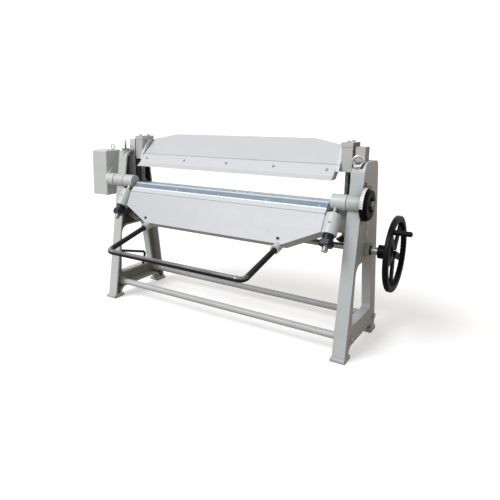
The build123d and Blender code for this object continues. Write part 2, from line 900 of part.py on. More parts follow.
def angle_pointer():
    """Flat bar on the right frame that reaches over the angle disc, with a set screw in it."""
    low = bend_line_z + disc_r + pointer_gap
    high = low + pointer_thickness
    half = pointer_width / 2
    bar = box(frame_outer_x, disc_outer_x - 2, bend_line_y - half, bend_line_y + half, low, high)
    screw_top = high + pointer_screw_height
    bar += bar_z(pointer_screw_r, disc_inner_x + 3, bend_line_y, high, screw_top)
    return bar + bar_z(pointer_screw_r + 2, disc_inner_x + 3, bend_line_y, screw_top - 5, screw_top)


def counterweight_arm():
    """Hub and gusset plate that carry the counterweight on the left pivot pin."""
    start = left_boss_outer_x + 5
    arm = bar_x(pivot_boss_r, start, weight_inner_x, bend_line_y, bend_line_z)
    low = weight_inner_x - arm_thickness
    gusset = [
        (bend_line_y - gusset_front, bend_line_z + gusset_rise),
        (weight_rear_y - gusset_inset, weight_top_z - gusset_inset),
        (weight_rear_y - gusset_inset, bend_line_z),
        (bend_line_y + gusset_front, bend_line_z - gusset_rise),
    ]
    arm += prism(gusset, low, weight_inner_x)
    arm -= bar_x(pivot_r, start - 1, weight_inner_x, bend_line_y, bend_line_z)
    return mirrored(arm)


def counterweight():
    """Solid iron block on the left end of the folding beam's shaft."""
    block = box(weight_inner_x, weight_outer_x, weight_front_y, weight_rear_y, weight_bottom_z, weight_top_z)
    block = fillet(block.edges().filter_by(Axis.Z), weight_round / 2)
    block = fillet(block.faces().sort_by(Axis.Z)[-1].edges(), weight_round)
    return mirrored(block)


def eye_bolt(x, y, seat_z, ring_r, wire_r, collar_r, collar, turn):
    """Lifting eye bolt: a collar on its seat and a ring that runs into it."""
    centre = seat_z + collar + ring_r
    ring = Pos(x, y, centre) * Rot(0, 0, turn) * Rot(90, 0, 0) * Torus(ring_r, wire_r)
    return ring + bar_z(collar_r, x, y, seat_z, seat_z + collar)


def frame_eye(right):
    """Lifting eye on top of a side frame."""
    x = right_eye_x if right else left_eye_x
    y = right_eye_y if right else left_eye_y
    seat_z = frame_height - (right_eye_seat_drop if right else left_eye_seat_drop)
    turn = right_eye_turn if right else left_eye_turn
    ring_r = frame_eye_ring_r
    return eye_bolt(x, y, seat_z, ring_r, frame_eye_wire_r, frame_eye_collar_r, frame_eye_collar, turn)


def weight_eye():
    """Lifting eye on top of the counterweight."""
    wire_r = weight_eye_wire_r
    x = -weight_eye_x
    return eye_bolt(x, weight_eye_y, weight_top_z, weight_eye_ring_r, wire_r, weight_eye_collar_r, wire_r, 0)


def handle_line(x):
    """Rear end, front corner and direction of one arm of the handle."""
    rear = Vector(x, handle_root_y, handle_root_z)
    front = Vector(x, handle_front_y, handle_front_z)
    along = (front - rear).normalized()
    return rear - along * handle_bury, front, along


def handle():
    """Bent steel tube that swings the folding beam."""
    rear, front, along = handle_line(handle_half_x)
    left_rear, left_front, _ = handle_line(-handle_half_x)
    path = FilletPolyline(rear, front, left_front, left_rear, radius=handle_bend_r)
    ring = Plane(origin=rear, z_dir=along) * (Circle(handle_r) - Circle(handle_r - handle_wall))
    return sweep(ring, path=path) - apron_block()


def handle_socket():
    """Right socket that holds the end of the handle on the apron's lower edge."""
    rear, front, along = handle_line(handle_half_x)
    ring = Plane(origin=rear, z_dir=along) * (Circle(socket_r) - Circle(handle_r))
    return extrude(ring, amount=handle_bury + socket_length) - apron_block()


def drive_shaft():
    """Cross shaft that the handwheel turns, with a shoulder between the frame and the wheel."""
    shaft = bar_x(drive_r, -drive_left_end_x, wheel_hub_end_x - wheel_hub_lip, screw_y, drive_z)
    shoulder_x = drive_boss_outer_x + 1
    return shaft + bar_x(shaft_shoulder_r, shoulder_x, wheel_hub_start_x, screw_y, drive_z)


def shaft_collar():
    """Set collar on the drive shaft's shoulder, against the right frame's boss."""
    low = drive_boss_outer_x + 1
    ring = bar_x(shaft_collar_r, low, low + shaft_collar_width, screw_y, drive_z)
    return ring - bar_x(shaft_shoulder_r, low - 1, low + shaft_collar_width + 1, screw_y, drive_z)


def wheel_rim():
    """Rim of the handwheel with finger grips around its inner edge."""
    centre = wheel_r - wheel_rim_width / 2
    section = Pos(centre, 0) * RectangleRounded(wheel_rim_width, wheel_rim_thick, wheel_rim_round)
    rim = revolve(Plane.XZ * section, axis=Axis.Z)
    reach = wheel_r - wheel_rim_width + wheel_scallop_depth - wheel_scallop_r
    tall = wheel_rim_thick + 2
    scallops = PolarLocations(reach, wheel_scallops) * Cylinder(wheel_scallop_r, tall)
    return Location((wheel_x, screw_y, drive_z), (0, 90, 0)) * (rim - scallops)


def wheel_spoke(angle):
    """Tapered spoke of the handwheel."""
    rim_centre = wheel_r - wheel_rim_width / 2
    root = wheel_hub_r - 8
    points = [
        (root, -wheel_spoke_width / 2 - 4),
        (rim_centre, -wheel_spoke_width / 2),
        (rim_centre, wheel_spoke_width / 2),
        (root, wheel_spoke_width / 2 + 4),
    ]
    low = wheel_x - wheel_spoke_thick / 2 - 8
    centre = side_plane(low) * Location((screw_y, drive_z, 0), (0, 0, angle))
    return extrude(centre * outline(points), amount=wheel_spoke_thick)


def handwheel():
    """Five-spoked handwheel with a long hub and a boss for the crank grip's pin."""
    wheel = wheel_rim() + bar_x(wheel_hub_r, wheel_hub_start_x, wheel_hub_end_x, screw_y, drive_z)
    for number in range(wheel_spokes):
        wheel += wheel_spoke(wheel_spoke_start + number * 360 / wheel_spokes)
    y, z = grip_centre()
    boss_end = wheel_x + wheel_rim_thick / 2 + grip_stand_off - slide_gap
    wheel += bar_x(grip_boss_r, wheel_x, boss_end, y, z)
    wheel -= bar_x(grip_pin_r, wheel_x, boss_end + 1, y, z)
    return wheel - bar_x(drive_r, wheel_hub_start_x - 1, wheel_hub_end_x - wheel_hub_lip, screw_y, drive_z)


def grip_centre():
    """Y and Z of the crank grip's axis."""
    angle = math.radians(grip_angle)
    return screw_y + grip_radius * math.cos(angle), drive_z + grip_radius * math.sin(angle)


def grip_pin():
    """Pin on the handwheel's rim that the crank grip turns on."""
    y, z = grip_centre()
    face = wheel_x + wheel_rim_thick / 2
    end = face + grip_stand_off + grip_length
    pin = bar_x(grip_pin_r, wheel_x, end + grip_head, y, z)
    return pin + bar_x(grip_collar_r, end + slide_gap, end + grip_head, y, z)


def crank_grip():
    """Loose grip on the handwheel's pin."""
    y, z = grip_centre()
    start = wheel_x + wheel_rim_thick / 2 + grip_stand_off
    grip = bar_x(grip_r, start, start + grip_length, y, z)
    return grip - bar_x(grip_pin_r + running_gap, start - 1, start + grip_length + 1, y, z)


def rest_bar():
    """Bent rod inside the left frame, from its lower cross member to its front leg."""
    x = rest_bar_x
    foot = (x, rest_bar_foot_y, arch_base_z - rest_bar_r)
    corner = (x, rest_bar_corner_y, rest_bar_corner_z)
    front = (x, arch_front_low_y, rest_bar_front_z)
    path = FilletPolyline(foot, corner, front, radius=rest_bar_bend_r)
    rod = sweep(Plane(origin=path @ 0, z_dir=path % 0) * Circle(rest_bar_r), path=path)
    inside_arch = extrude(side_plane(x - 2 * rest_bar_r) * arch_face(), amount=4 * rest_bar_r)
    return rod & inside_arch


nodes = {
    "side_frame_left": side_frame(False),
    "side_frame_right": side_frame(True),
    "tie_rods": tie_rods(),
    "tie_rod_bolts": tie_bolts(),
    "table_blade": table_blade(),
    "bed_top_plate": bed_top_plate(),
    "bed_front_plate": bed_front_plate(),
    "bed_rear_plate": bed_rear_plate(),
    "bed_end_plates": both_sides(bed_end_plate()),
    "screw_bearings": both_sides(screw_bearing()),
    "guide_bars": both_sides(guide_bar()),
    "angle_pointer": angle_pointer(),
    "frame_eye_left": frame_eye(False),
    "frame_eye_right": frame_eye(True),
    "handle_rest": rest_bar(),
    "clamp_nose": clamp_nose(),
    "clamp_front_plate": clamp_front_plate(),
    "clamp_bottom_plate": clamp_bottom_plate(),
    "clamp_rear_plate": clamp_rear_plate(),
    "clamp_end_plates": both_sides(clamp_end()),
    "lifting_blocks": both_sides(lifting_block()),
    "lifting_nuts": both_sides(lifting_nut()),
    "block_caps": both_sides(block_cap()),
    "lead_screw_left": mirrored(lead_screw()),
    "lead_screw_right": lead_screw(),
    "screw_gear_left": screw_gear(-screw_x),
    "screw_gear_right": screw_gear(screw_x),
    "drive_shaft": drive_shaft(),
    "shaft_gears": shaft_gears(),
    "shaft_collar": shaft_collar(),
    "handwheel": handwheel(),
    "grip_pin": grip_pin(),
    "crank_grip": crank_grip(),
    "folding_strip": folding_strip(),
    "folding_bar": folding_bar(),
    "apron": apron(),
    "apron_ribs": apron_ribs(),
    "pivot_hubs": both_sides(pivot_hub()),
    "pivot_pins": pivot_pins(),
    "adjusting_sleeves": both_sides(adjusting_sleeve()),
    "adjusting_nuts": both_sides(adjusting_nuts()),
    "angle_disc": angle_disc(),
    "disc_nut": pivot_nut_piece(),
    "counterweight_arm": counterweight_arm(),
    "counterweight": counterweight(),
    "weight_eye": weight_eye(),
    "handle": handle(),
    "handle_sockets": both_sides(handle_socket()),
}

os.makedirs("parts", exist_ok=True)
for name, shape in nodes.items():
    export_step(shape, f"parts/{name}.step")
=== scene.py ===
import math

import bmesh
import bpy
from mathutils import Matrix, Vector


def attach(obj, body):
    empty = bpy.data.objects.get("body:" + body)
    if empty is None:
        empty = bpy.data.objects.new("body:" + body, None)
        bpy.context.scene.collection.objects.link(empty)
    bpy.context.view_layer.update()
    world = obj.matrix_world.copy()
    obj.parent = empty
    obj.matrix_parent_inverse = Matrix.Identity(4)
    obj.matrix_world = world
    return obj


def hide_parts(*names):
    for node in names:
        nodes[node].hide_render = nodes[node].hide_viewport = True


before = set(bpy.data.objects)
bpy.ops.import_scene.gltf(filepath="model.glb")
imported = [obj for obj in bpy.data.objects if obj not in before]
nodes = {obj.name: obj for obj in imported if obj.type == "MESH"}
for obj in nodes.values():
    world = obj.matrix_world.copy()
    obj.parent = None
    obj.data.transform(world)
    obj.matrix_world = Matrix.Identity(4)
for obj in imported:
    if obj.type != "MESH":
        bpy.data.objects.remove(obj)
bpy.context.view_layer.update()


# Side frames: two grey iron castings, each an outer plate with flanges turned towards the
# middle, fettled, filled and sprayed pale grey. Oil and workshop dust lie in their open backs,
# darkened further by painted shade, and their outer faces take a painted warm reflected light.

def linear(hex_colour):
    """A written sRGB colour as the linear red, green, blue and alpha that shaders take."""
    parts = [int(hex_colour[i:i + 2], 16) / 255 for i in (0, 2, 4)]
    return [c / 12.92 if c <= 0.04045 else ((c + 0.055) / 1.055) ** 2.4 for c in parts] + [1.0]


def add(tree, kind, inputs, **settings):
    """A shader node with its settings. Each input takes a value, an output, or a node's first output."""
    node = tree.nodes.new("ShaderNode" + kind)
    for name, value in settings.items():
        setattr(node, name, value)
    for name, value in inputs.items():
        source = value.outputs[0] if isinstance(value, bpy.types.Node) else value
        if isinstance(source, bpy.types.NodeSocket):
            tree.links.new(source, node.inputs[name])
        else:
            node.inputs[name].default_value = source
    return node


def new_material(name):
    """An empty node material and its node tree."""
    material = bpy.data.materials.new(name)
    material.use_nodes = True
    material.node_tree.nodes.clear()
    return material, material.node_tree


def dress(material, *names):
    """CAD nodes take one finish over their whole surface."""
    for name in names:
        nodes[name].data.materials.clear()
        nodes[name].data.materials.append(material)


def edge_wear(tree, radius_mm, noise):
    """Rounded normals, and how much of an edge is worn: sharp corners broken up by a noise."""
    rounded = add(tree, "Bevel", {"Radius": radius_mm / 1000}, samples=6)
    flat = add(tree, "NewGeometry", {})
    match = add(tree, "VectorMath", {0: rounded, 1: flat.outputs["Normal"]}, operation="DOT_PRODUCT")
    turned = add(tree, "Math", {0: 1.0, 1: match.outputs["Value"]}, operation="SUBTRACT")
    broken = add(tree, "Math", {0: turned, 1: noise}, operation="MULTIPLY")
    worn = add(tree, "MapRange", {"Value": broken, "From Min": 0.03, "From Max": 0.1})
    return rounded, worn


def casting_dirt_and_shade(tree, coordinates, cloud, inward):
    """How far grime and painted shade darken a frame in its hollows, open back and rear flange, and their
    colour.
    """
    normal = add(tree, "SeparateXYZ", {"Vector": coordinates.outputs["Normal"]})
    point = add(tree, "SeparateXYZ", {"Vector": coordinates.outputs["Object"]})
    # Ambient occlusion darkens the hollows: painted shade.
    hollow = add(tree, "AmbientOcclusion", {"Distance": 0.06}, samples=6)
    corner = add(tree, "MapRange", {
        "Value": hollow.outputs["AO"], "From Min": 0.25, "From Max": 0.85, "To Min": 0.75, "To Max": 0.0,
    })
    # Inward faces deep in the open back are darkened: painted shade in the recess, with dust.
    facing = add(tree, "MapRange", {
        "Value": normal.outputs["X"], "From Min": 0.4 * inward, "From Max": 0.9 * inward,
    })
    flange_lip, back_plate = 0.770, 0.805
    deep = add(tree, "MapRange", {
        "Value": point.outputs["X"], "From Min": -flange_lip * inward, "From Max": -back_plate * inward,
    })
    back = add(tree, "Math", {0: facing, 1: deep}, operation="MULTIPLY")
    # The rear flange's inner face above the table is darkened too: painted shade with grime.
    rear = add(tree, "MapRange", {"Value": point.outputs["Y"], "From Min": 0.03, "From Max": 0.06})
    forward = add(tree, "MapRange", {"Value": normal.outputs["Y"], "From Min": -0.5, "From Max": -0.9})
    flange = add(tree, "Math", {0: rear, 1: forward}, operation="MULTIPLY")
    high = add(tree, "MapRange", {"Value": point.outputs["Z"], "From Min": 0.55, "From Max": 0.72})
    darkened_flange = add(tree, "Math", {0: flange, 1: high}, operation="MULTIPLY")
    open_back = add(tree, "Math", {0: back, 1: darkened_flange}, operation="MAXIMUM")
    most = add(tree, "Math", {0: open_back, 1: corner}, operation="MAXIMUM")
    patchy = add(tree, "MapRange", {
        "Value": cloud, "From Min": 0.3, "From Max": 0.6, "To Min": 0.88, "To Max": 1.0,
    })
    dirt_and_shade = add(tree, "Math", {0: most, 1: patchy}, operation="MULTIPLY", use_clamp=True)
    # Darker higher up, from dust brown to near black: oil, and painted shade.
    oil_and_shade_height = add(tree, "MapRange", {"Value": point.outputs["Z"], "From Min": 0.40, "From Max": 0.62})
    dust_and_shade, oil = linear("8b877c"), linear("12100d")
    colour = add(tree, "MixRGB", {"Fac": oil_and_shade_height, "Color1": dust_and_shade, "Color2": oil})
    return dirt_and_shade, colour


def enamel_on_casting(name, inward, colour, shade):
    """Sprayed enamel over sand-cast iron: pebbled, drifting in tone, painted browner outside as warm
    reflected light, dirty and in painted shade in its back.
    """
    material, tree = new_material(name)
    coordinates = add(tree, "TexCoord", {})
    place = coordinates.outputs["Object"]
    drift = add(tree, "TexNoise", {"Vector": place, "Scale": 1000 / 180, "Detail": 6.0, "Roughness": 0.6})
    tone = add(tree, "MixRGB", {"Fac": drift, "Color1": linear(shade), "Color2": linear(colour)})
    cloud = add(tree, "TexNoise", {"Vector": place, "Scale": 1000 / 40, "Detail": 6.0, "Roughness": 0.65})
    normal = add(tree, "SeparateXYZ", {"Vector": coordinates.outputs["Normal"]})
    # The outer faces are tinted brown: painted warm reflected light.
    outside = add(tree, "MapRange", {
        "Value": normal.outputs["X"], "From Min": -0.8 * inward, "From Max": -0.98 * inward, "To Max": 0.35,
    })
    painted_warm_side = add(tree, "MixRGB", {"Fac": outside, "Color1": tone, "Color2": linear("b3a89c")})
    dirt_and_shade, dirt_and_shade_colour = casting_dirt_and_shade(tree, coordinates, cloud, inward)
    soiled = add(tree, "MixRGB", {"Fac": dirt_and_shade, "Color1": painted_warm_side, "Color2": dirt_and_shade_colour})
    soft_edge, worn = edge_wear(tree, 1.8, cloud)
    chipped = add(tree, "MixRGB", {"Fac": worn, "Color1": soiled, "Color2": linear("8f8a80")})
    # The moulding sand is half a millimetre across, too fine to show, and is drawn at 3.5 mm.
    sand = add(tree, "TexNoise", {"Vector": place, "Scale": 1000 / 3.5, "Detail": 3.0})
    pebbles = add(tree, "Bump", {"Strength": 0.4, "Distance": 0.0006, "Height": sand, "Normal": soft_edge})
    filler = add(tree, "TexNoise", {"Vector": place, "Scale": 1000 / 70, "Detail": 2.0})
    waves = add(tree, "Bump", {"Strength": 0.3, "Distance": 0.004, "Height": filler, "Normal": pebbles})
    gloss = add(tree, "MapRange", {"Value": cloud, "To Min": 0.34, "To Max": 0.54})
    skin = add(tree, "BsdfPrincipled", {"Base Color": chipped, "Roughness": gloss, "Normal": waves})
    add(tree, "OutputMaterial", {"Surface": skin})
    return material


# The right frame takes a darker copy of the left frame's enamel: painted shade, as both wear one paint.
dress(enamel_on_casting("enamel_on_cast_iron_left", 1, "d0d5d8", "bcc0c1"), "side_frame_left")
dress(enamel_on_casting("enamel_on_cast_iron_right", -1, "c4cacf", "b1b6ba"), "side_frame_right")


# Tie rods: two drawn steel bars between the frames near the floor, bolted through each
# frame from outside. They are painted with the machine, bolt heads too.

rolled_bar = (2.4, 0.20)


def sprayed_enamel(name, colour, shade, dirt_and_shade, surface, joint_z=-1.0, shoe_x=2.0):
    """Sprayed enamel on metal: faint orange peel, slow drifts of tone, and painted shade with grime in its
    corners.

    The surface under it sets the peel's grain in millimetres and its relief. A joint shows as a
    dirty line at one height, and a sliding shoe as grease beyond one distance from the middle.
    Left alone, both lie outside the machine.
    """
    material, tree = new_material(name)
    place = add(tree, "TexCoord", {}).outputs["Object"]
    drift = add(tree, "TexNoise", {"Vector": place, "Scale": 1000 / 140, "Detail": 5.0, "Roughness": 0.6})
    tone = add(tree, "MixRGB", {"Fac": drift, "Color1": linear(shade), "Color2": linear(colour)})
    cloud = add(tree, "TexNoise", {"Vector": place, "Scale": 1000 / 30, "Detail": 6.0, "Roughness": 0.65})
    # Ambient occlusion darkens the corners: painted shade, patched by a cloud.
    hollow = add(tree, "AmbientOcclusion", {"Distance": 0.02}, samples=6)
    corner = add(tree, "MapRange", {
        "Value": hollow.outputs["AO"], "From Min": 0.3, "From Max": 0.8, "To Min": 0.55, "To Max": 0.0,
    })
    shaded_corners = add(tree, "Math", {0: corner, 1: cloud}, operation="MULTIPLY")
    point = add(tree, "SeparateXYZ", {"Vector": place})
    line_half_width = 0.0012
    joint = add(tree, "Math", {0: point.outputs["Z"], 1: joint_z, 2: line_half_width}, operation="COMPARE")
    outward = add(tree, "Math", {0: point.outputs["X"]}, operation="ABSOLUTE")
    shoe = add(tree, "Math", {0: outward, 1: shoe_x}, operation="GREATER_THAN")
    marked = add(tree, "Math", {0: joint, 1: shoe}, operation="MAXIMUM")
    dust_and_shade = add(tree, "Math", {0: shaded_corners, 1: marked}, operation="MAXIMUM")
    soiled = add(tree, "MixRGB", {"Fac": dust_and_shade, "Color1": tone, "Color2": linear(dirt_and_shade)})
    soft_edge, worn = edge_wear(tree, 1.0, cloud)
    rubbed = add(tree, "MixRGB", {"Fac": worn, "Color1": soiled, "Color2": linear("a9a7a2")})
    # Orange peel has a grain of about 1 mm, and is drawn two or three times as coarse to show.
    grain_mm, relief = surface
    peel = add(tree, "TexNoise", {"Vector": place, "Scale": 1000 / grain_mm, "Detail": 2.0})
    bump = add(tree, "Bump", {"Strength": relief, "Distance": 0.0003, "Height": peel, "Normal": soft_edge})
    gloss = add(tree, "MapRange", {"Value": cloud, "To Min": 0.3, "To Max": 0.46})
    skin = add(tree, "BsdfPrincipled", {"Base Color": rubbed, "Roughness": gloss, "Normal": bump})
    add(tree, "OutputMaterial", {"Surface": skin})
    return material


rod_enamel = sprayed_enamel("enamel_on_steel_bar", "c4c9ca", "b3b8b9", "6f6a60", rolled_bar)
dress(rod_enamel, "tie_rods", "tie_rod_bolts")


# Bed: a box of heavy plates between the frames that carries the table and the screw
# bearings, welded, then sprayed with the frames' enamel.

plate_enamel = sprayed_enamel("enamel_on_bed_plate", "cfd5d9", "bfc5c8", "57524a", rolled_bar)
dress(plate_enamel, "bed_top_plate", "bed_front_plate", "bed_rear_plate", "bed_end_plates")


# Table blade: a bar of tool steel, ground along its length, whose front edge is the
# bending line. It is left bright and oiled.

along_bar = (0.015, 1.0, 1.0)


def tool_lines(tree, place, stretch, width_mm, roughness=0.5):
    """The lines that a tool or a hand leaves: a noise drawn out along the axis with a small stretch."""
    drawn_out = add(tree, "Mapping", {"Vector": place, "Scale": stretch})
    return add(tree, "TexNoise", {
        "Vector": drawn_out, "Scale": 1000 / width_mm, "Detail": 4.0, "Roughness": roughness,
    })


def ground_steel(name, colour, shade, roughness, stretch):
    """Ground or turned metal: fine tool lines, bright corners and faint oil clouds in its tone."""
    material, tree = new_material(name)
    place = add(tree, "TexCoord", {}).outputs["Object"]
    # Grinding lines are a tenth of a millimetre apart, too fine to show, and are drawn at 1.5 mm.
    lines = tool_lines(tree, place, stretch, 1.5)
    cloud = add(tree, "TexNoise", {"Vector": place, "Scale": 1000 / 90, "Detail": 5.0, "Roughness": 0.6})
    tone = add(tree, "MixRGB", {"Fac": cloud, "Color1": linear(shade), "Color2": linear(colour)})
    soft_edge, worn = edge_wear(tree, 0.8, lines)
    bright = add(tree, "MixRGB", {"Fac": worn, "Color1": tone, "Color2": linear("eef1f3")})
    gloss = add(tree, "MapRange", {"Value": lines, "To Min": roughness - 0.1, "To Max": roughness + 0.12})
    bump = add(tree, "Bump", {"Strength": 0.2, "Distance": 0.0002, "Height": lines, "Normal": soft_edge})
    skin = add(tree, "BsdfPrincipled", {
        "Base Color": bright, "Metallic": 1.0, "Roughness": gloss, "Normal": bump,
    })
    add(tree, "OutputMaterial", {"Surface": skin})
    return material


dress(ground_steel("ground_tool_steel", "b3bec6", "8c979f", 0.36, along_bar), "table_blade")


# Guide bars: planed mild steel bars let into the frames' tops. The lifting blocks slide on
# them, so they are left bare. Old oil has browned the right pair. The left pair is drawn
# lighter as painted light, and all their sides darker as painted shade.

def slideway_steel():
    """Planed mild steel: upright tool lines, painted shade on its sides, painted light on the left pair,
    and black grease where the shoes run.
    """
    material, tree = new_material("planed_mild_steel")
    coordinates = add(tree, "TexCoord", {})
    place = coordinates.outputs["Object"]
    # Planing lines are half a millimetre apart, too fine to show, and are drawn at 2 mm.
    lines = tool_lines(tree, place, (1.0, 1.0, 0.02), 2)
    cloud = add(tree, "TexNoise", {"Vector": place, "Scale": 1000 / 50, "Detail": 5.0, "Roughness": 0.6})
    browned = add(tree, "MixRGB", {"Fac": cloud, "Color1": linear("a9a5a0"), "Color2": linear("d3cfcb")})
    point = add(tree, "SeparateXYZ", {"Vector": place})
    # The left pair is drawn lighter: painted light where the frame's flange shades them.
    left = add(tree, "Math", {0: point.outputs["X"], 1: 0.0}, operation="LESS_THAN")
    left_painted_light = add(tree, "MixRGB", {"Fac": left, "Color1": browned, "Color2": linear("e6e8e7")})
    normal = add(tree, "SeparateXYZ", {"Vector": coordinates.outputs["Normal"]})
    across = add(tree, "Math", {0: normal.outputs["X"]}, operation="ABSOLUTE")
    side = add(tree, "MapRange", {"Value": across, "From Min": 0.7, "From Max": 0.95})
    # The side faces are darkened: painted shade.
    painted_side_shade = add(tree, "Math", {0: side, 1: 0.7}, operation="MULTIPLY")
    side_shaded = add(tree, "MixRGB", {"Fac": painted_side_shade, "Color1": left_painted_light, "Color2": linear("5f5c57")})
    ragged = add(tree, "MapRange", {"Value": cloud, "To Min": 0.012, "To Max": -0.012})
    level = add(tree, "Math", {0: point.outputs["Z"], 1: ragged}, operation="ADD")
    swept = add(tree, "MapRange", {"Value": level, "From Min": 0.965, "From Max": 0.945})
    greased = add(tree, "Math", {0: side, 1: swept}, operation="MULTIPLY")
    soiled = add(tree, "MixRGB", {"Fac": greased, "Color1": side_shaded, "Color2": linear("171512")})
    gloss = add(tree, "MapRange", {"Value": lines, "To Min": 0.36, "To Max": 0.58})
    bump = add(tree, "Bump", {"Strength": 0.25, "Distance": 0.0003, "Height": lines})
    skin = add(tree, "BsdfPrincipled", {
        "Base Color": soiled, "Metallic": 0.4, "Roughness": gloss, "Normal": bump,
    })
    add(tree, "OutputMaterial", {"Surface": skin})
    return material


dress(slideway_steel(), "guide_bars")


# Screw bearings: turned cast iron flanges on the bed, each round a lead screw, kept black
# with oil from the thread above.

def oiled_black_steel(name, colour, shade, edge, roughness, radius_mm):
    """Oiled or blackened steel: dark with a soft sheen, and brighter metal where its corners are rubbed."""
    material, tree = new_material(name)
    place = add(tree, "TexCoord", {}).outputs["Object"]
    cloud = add(tree, "TexNoise", {"Vector": place, "Scale": 1000 / 14, "Detail": 6.0, "Roughness": 0.65})
    tone = add(tree, "MixRGB", {"Fac": cloud, "Color1": linear(shade), "Color2": linear(colour)})
    soft_edge, worn = edge_wear(tree, radius_mm, cloud)
    rubbed = add(tree, "MixRGB", {"Fac": worn, "Color1": tone, "Color2": linear(edge)})
    gloss = add(tree, "MapRange", {"Value": cloud, "To Min": roughness - 0.1, "To Max": roughness + 0.16})
    # Grit in the oil is a few tenths of a millimetre, too fine to show, and is drawn at 1.8 mm.
    grit = add(tree, "TexNoise", {"Vector": place, "Scale": 1000 / 1.8, "Detail": 3.0})
    bump = add(tree, "Bump", {"Strength": 0.2, "Distance": 0.0003, "Height": grit, "Normal": soft_edge})
    skin = add(tree, "BsdfPrincipled", {
        "Base Color": rubbed, "Metallic": 0.85, "Roughness": gloss, "Normal": bump,
    })
    add(tree, "OutputMaterial", {"Surface": skin})
    return material


bearing_black = oiled_black_steel("oiled_cast_bearing", "4a4540", "2c2926", "8d8780", 0.4, 0.8)
dress(bearing_black, "screw_bearings")


# Lead screws: two steel screws with a two-start thread of ten millimetres lead, a plain
# foot for the bevel gear and a thrust collar over the bed. Black grease dulls the grey steel.

def mm(x, y, z):
    """A place that is given in millimetres. Radii, lengths and depths are in metres."""
    return Vector((x, y, z)) / 1000


def aimed(place, direction):
    """The turn and shift that put a shape's +Z along a direction and its middle on a place."""
    return Matrix.Translation(place) @ Vector(direction).to_track_quat("Z", "Y").to_matrix().to_4x4()


def make_piece(name, bm, body, material):
    """A finished bmesh as an object that rides on a body and takes one finish."""
    crease = math.radians(35)
    bmesh.ops.recalc_face_normals(bm, faces=bm.faces[:])
    mesh = bpy.data.meshes.new(name)
    bm.to_mesh(mesh)
    bm.free()
    mesh.shade_smooth()
    mesh.set_sharp_from_angle(angle=crease)
    mesh.materials.append(material)
    piece = bpy.data.objects.new(name, mesh)
    bpy.context.scene.collection.objects.link(piece)
    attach(piece, body)
    return piece


def turned_bar(bm, place, direction, radius, length, chamfer_mm, segments=48):
    """A round bar from a place along a direction, with both ends chamfered."""
    middle = place + Vector(direction).normalized() * length / 2
    bar = bmesh.ops.create_cone(
        bm, cap_ends=True, segments=segments, radius1=radius, radius2=radius, depth=length,
        matrix=aimed(middle, direction),
    )["verts"]
    caps = {face for vert in bar for face in vert.link_faces if len(face.verts) == segments}
    rims = list({edge for face in caps for edge in face.edges})
    bmesh.ops.bevel(
        bm, geom=rims, offset=chamfer_mm / 1000, segments=1, affect="EDGES", profile=0.5, material=-1,
    )


def trim_thread(bm, height, away):
    """A thread cut off square at a height, and its end closed."""
    bmesh.ops.bisect_plane(
        bm, geom=bm.verts[:] + bm.edges[:] + bm.faces[:], plane_co=(0, 0, height), plane_no=(0, 0, away),
        clear_outer=True,
    )
    at_cut = 0.00001
    open_edges = [edge for edge in bm.edges if edge.is_boundary]
    rim = [edge for edge in open_edges if all(abs(vert.co.z - height) < at_cut for vert in edge.verts)]
    bmesh.ops.holes_fill(bm, edges=rim)


def threaded_bar(bm, centre, bottom, top, crest, root, lead, starts):
    """A screw thread about Z: a saw of flanks, spun once round while it climbs by its lead."""
    steps = 36
    pitch = lead / starts
    # The rise and radius of each corner of one thread, from its root over its crest.
    saw = ((0.0, root), (0.30 * pitch, root), (0.44 * pitch, crest), (0.86 * pitch, crest))
    low = bottom - 2 * lead
    verts = []
    for number in range(math.ceil((top - low + lead) / pitch)):
        for rise, radius in saw:
            verts.append(bm.verts.new(centre + Vector((radius, 0, low + number * pitch + rise))))
    edges = [bm.edges.new(pair) for pair in zip(verts, verts[1:])]
    bmesh.ops.spin(
        bm, geom=verts + edges, cent=centre, axis=(0, 0, 1), dvec=(0, 0, lead / steps),
        angle=math.tau, steps=steps, use_merge=False,
    )
    bmesh.ops.remove_doubles(bm, verts=bm.verts[:], dist=0.00002)
    trim_thread(bm, bottom, -1)
    trim_thread(bm, top, 1)


thread_black = oiled_black_steel("greased_screw_thread", "9fa2a6", "45474c", "e0e3e7", 0.3, 0.5)
screw_x, screw_y = 708.5, -22
thread_bottom, thread_top = 0.640, 0.970
crest_radius, root_radius = 0.015, 0.0124
screw_lead, screw_starts = 0.010, 2
foot_z, foot_radius, foot_length = 571, 0.0142, 0.070
collar_z, collar_radius, collar_length = 798.3, 0.021, 0.010
upward = (0, 0, 1)
for side, sign in (("left", -1), ("right", 1)):
    axis = mm(sign * screw_x, screw_y, 0)
    bm = bmesh.new()
    threaded_bar(
        bm, axis, thread_bottom, thread_top, crest_radius, root_radius, screw_lead, screw_starts,
    )
    turned_bar(bm, axis + mm(0, 0, foot_z), upward, foot_radius, foot_length, 0.8)
    turned_bar(bm, axis + mm(0, 0, collar_z), upward, collar_radius, collar_length, 1.0)
    screw = make_piece(f"threaded_screw_{side}", bm, f"screw_{side}", thread_black)
    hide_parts(f"lead_screw_{side}")


# Bevel gears: two pairs of cut steel gears that join the cross shaft to the lead screws.
# Dark grease fills the roots of the teeth, and their tips run bright.

gear_steel = oiled_black_steel("greased_gear_steel", "5b5046", "2a241f", "cfc8bf", 0.36, 0.7)
dress(gear_steel, "screw_gear_left", "screw_gear_right", "shaft_gears")


# Cross shaft: a drawn steel bar through both frames that the handwheel turns, with a
# shoulder and a black set collar outside the right frame. A film of old oil tints it.

shaft_steel = ground_steel("drawn_steel_bar", "bdbdb4", "8f8e84", 0.42, (0.02, 1.0, 1.0))
dress(shaft_steel, "drive_shaft")
collar_black = oiled_black_steel("blackened_steel", "34363c", "1b1c20", "9a9da3", 0.34, 0.8)
dress(collar_black, "shaft_collar")


